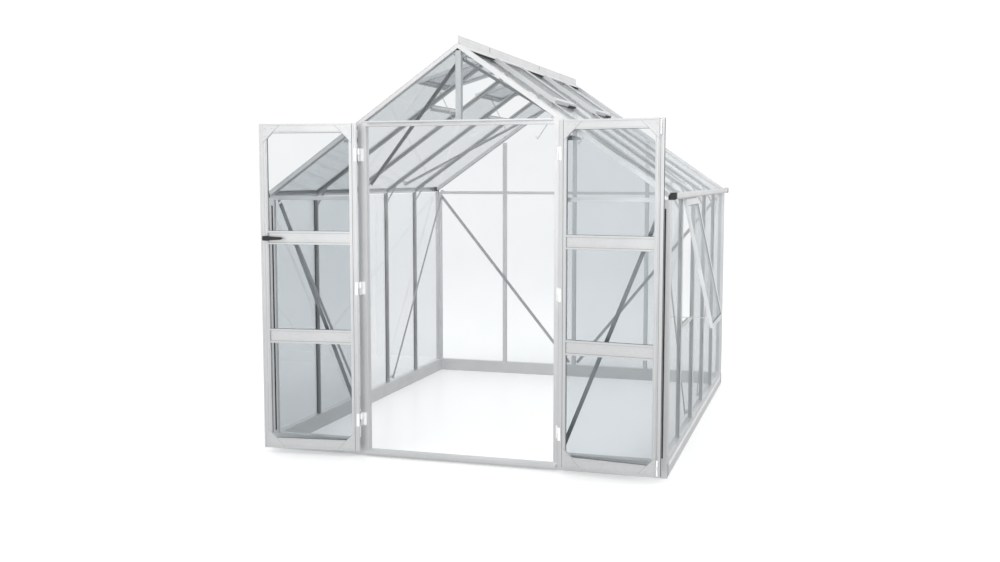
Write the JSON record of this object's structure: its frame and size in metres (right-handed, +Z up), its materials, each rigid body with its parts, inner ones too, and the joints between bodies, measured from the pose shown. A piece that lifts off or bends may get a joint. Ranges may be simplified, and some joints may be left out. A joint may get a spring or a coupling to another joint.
{
  "type": "greenhouse",
  "caption": "Walk-in aluminium and glass greenhouse with a pitched roof, double swing doors, hinged roof vents and a top-hung side window.",
  "frame": {"origin": "middle of the underside of the front base rail, below the door threshold", "axes": "+Z up, +Y from the doors along the ridge to the back wall, +X to the right of someone facing the doors"},
  "size_m": [2.7815, 3.2944, 2.595],
  "materials": {
    "aluminium": "satin mill finish with fine drawing lines",
    "clear_glass": "clear polished sheet",
    "black_plastic": "satin moulded",
    "white_enamel": "smooth satin powder coat"
  },
  "bodies": {
    "root": {"base_front": "aluminium", "base_left": "aluminium", "base_rear": "aluminium", "base_right": "aluminium", "brace_front_left": "aluminium", "brace_front_right": "aluminium", "brace_rear_left": "aluminium", "brace_rear_right": "aluminium", "corner_post_front_left": "aluminium", "corner_post_front_right": "aluminium", "corner_post_rear_left": "aluminium", "corner_post_rear_right": "aluminium", "door_frame": "aluminium", "front_rafters": "aluminium", "gable_post": "aluminium", "glass_front_left": "clear_glass", "glass_front_right": "clear_glass", "glass_gable": "clear_glass", "glass_left": "clear_glass", "glass_rear": "clear_glass", "glass_right": "clear_glass", "glass_roof_left": "clear_glass", "glass_roof_right": "clear_glass", "gutter_left": "aluminium", "gutter_right": "aluminium", "rear_frame": "aluminium", "rear_rafters": "aluminium", "rib_left_1": "aluminium", "rib_left_2": "aluminium", "rib_left_3": "aluminium", "rib_left_4": "aluminium", "rib_right_1": "aluminium", "rib_right_2": "aluminium", "rib_right_3": "aluminium", "rib_right_4": "aluminium", "ridge_beam": "aluminium", "roof_brace_front": "aluminium", "roof_brace_rear": "aluminium"},
    "left_door": {"door_left": "aluminium", "door_glass_left": "clear_glass"},
    "lever": {"door_lever": "black_plastic"},
    "right_door": {"door_right": "aluminium", "door_glass_right": "clear_glass"},
    "top_bolt": {"door_bolt_top": "white_enamel"},
    "bottom_bolt": {"door_bolt_bottom": "white_enamel"},
    "window": {"side_window": "aluminium", "side_window_glass": "clear_glass"},
    "window_stay": {"side_window_stay": "aluminium"},
    "vent_left_1": {"vent_left_1": "aluminium", "vent_glass_left_1": "clear_glass"},
    "stay_left_1": {"vent_stay_left_1": "aluminium"},
    "vent_left_2": {"vent_left_2": "aluminium", "vent_glass_left_2": "clear_glass"},
    "stay_left_2": {"vent_stay_left_2": "aluminium"},
    "vent_right_1": {"vent_right_1": "aluminium", "vent_glass_right_1": "clear_glass"},
    "stay_right_1": {"vent_stay_right_1": "aluminium"},
    "vent_right_2": {"vent_right_2": "aluminium", "vent_glass_right_2": "clear_glass"},
    "stay_right_2": {"vent_stay_right_2": "aluminium"}
  },
  "joints": [
    {"name": "left_door_hinge", "type": "hinge", "parent": "root", "child": "left_door", "pos_m": [-0.637, -0.056, 0], "axis": [0, 0, 1], "range_deg": [-4, 172.8]},
    {"name": "right_door_hinge", "type": "hinge", "parent": "root", "child": "right_door", "pos_m": [0.637, -0.056, 0], "axis": [0, 0, 1], "range_deg": [-172.8, 4]},
    {"name": "lever_turn", "type": "hinge", "parent": "left_door", "child": "lever", "pos_m": [-1.22735, -0.1462, 1.373], "axis": [-0.1253, 0.9921, 0], "range_deg": [0, 45], "stiffness_Nm_per_rad": 0.8, "springref_deg": -17.19},
    {"name": "top_bolt_slide", "type": "slide", "parent": "right_door", "child": "top_bolt", "axis": [0, 0, 1], "range_m": [0, 0.018]},
    {"name": "bottom_bolt_slide", "type": "slide", "parent": "right_door", "child": "bottom_bolt", "axis": [0, 0, -1], "range_m": [0, 0.018]},
    {"name": "vent_left_1_hinge", "type": "hinge", "parent": "root", "child": "vent_left_1", "pos_m": [-0.03815, 0.918, 2.52541], "axis": [0, 1, 0], "range_deg": [-19, 13]},
    {"name": "stay_left_1_pivot", "type": "hinge", "parent": "vent_left_1", "child": "stay_left_1", "pos_m": [-0.47301, 0.918, 2.3747], "axis": [0, 1, 0], "range_deg": [-8, 11.5]},
    {"name": "vent_left_2_hinge", "type": "hinge", "parent": "root", "child": "vent_left_2", "pos_m": [-0.03815, 2.162, 2.52541], "axis": [0, 1, 0], "range_deg": [-19, 13]},
    {"name": "stay_left_2_pivot", "type": "hinge", "parent": "vent_left_2", "child": "stay_left_2", "pos_m": [-0.47301, 2.162, 2.3747], "axis": [0, 1, 0], "range_deg": [-8, 11.5]},
    {"name": "vent_right_1_hinge", "type": "hinge", "parent": "root", "child": "vent_right_1", "pos_m": [0.03815, 0.918, 2.52541], "axis": [0, -1, 0], "range_deg": [0, 32]},
    {"name": "stay_right_1_pivot", "type": "hinge", "parent": "vent_right_1", "child": "stay_right_1", "pos_m": [0.40025, 0.918, 2.24133], "axis": [0, -1, 0], "range_deg": [-19, 0.5]},
    {"name": "vent_right_2_hinge", "type": "hinge", "parent": "root", "child": "vent_right_2", "pos_m": [0.03815, 2.162, 2.52541], "axis": [0, -1, 0], "range_deg": [0, 32]},
    {"name": "stay_right_2_pivot", "type": "hinge", "parent": "vent_right_2", "child": "stay_right_2", "pos_m": [0.40025, 2.162, 2.24133], "axis": [0, -1, 0], "range_deg": [-19, 0.5]},
    {"name": "window_hinge", "type": "hinge", "parent": "root", "child": "window", "pos_m": [1.2885, 0.918, 1.617], "axis": [0, -1, 0], "range_deg": [-12.5, 7.5]},
    {"name": "window_stay_pivot", "type": "hinge", "parent": "window", "child": "window_stay", "pos_m": [1.43128, 0.918, 0.83435], "axis": [0, -1, 0], "range_deg": [-8, 13]}
  ],
  "couplings": [
    {"joint": "stay_left_1_pivot", "follows": "vent_left_1_hinge", "ratio": -0.57},
    {"joint": "stay_left_2_pivot", "follows": "vent_left_2_hinge", "ratio": -0.57},
    {"joint": "stay_right_1_pivot", "follows": "vent_right_1_hinge", "ratio": -0.57},
    {"joint": "stay_right_2_pivot", "follows": "vent_right_2_hinge", "ratio": -0.57},
    {"joint": "window_stay_pivot", "follows": "window_hinge", "ratio": -1}
  ]
}
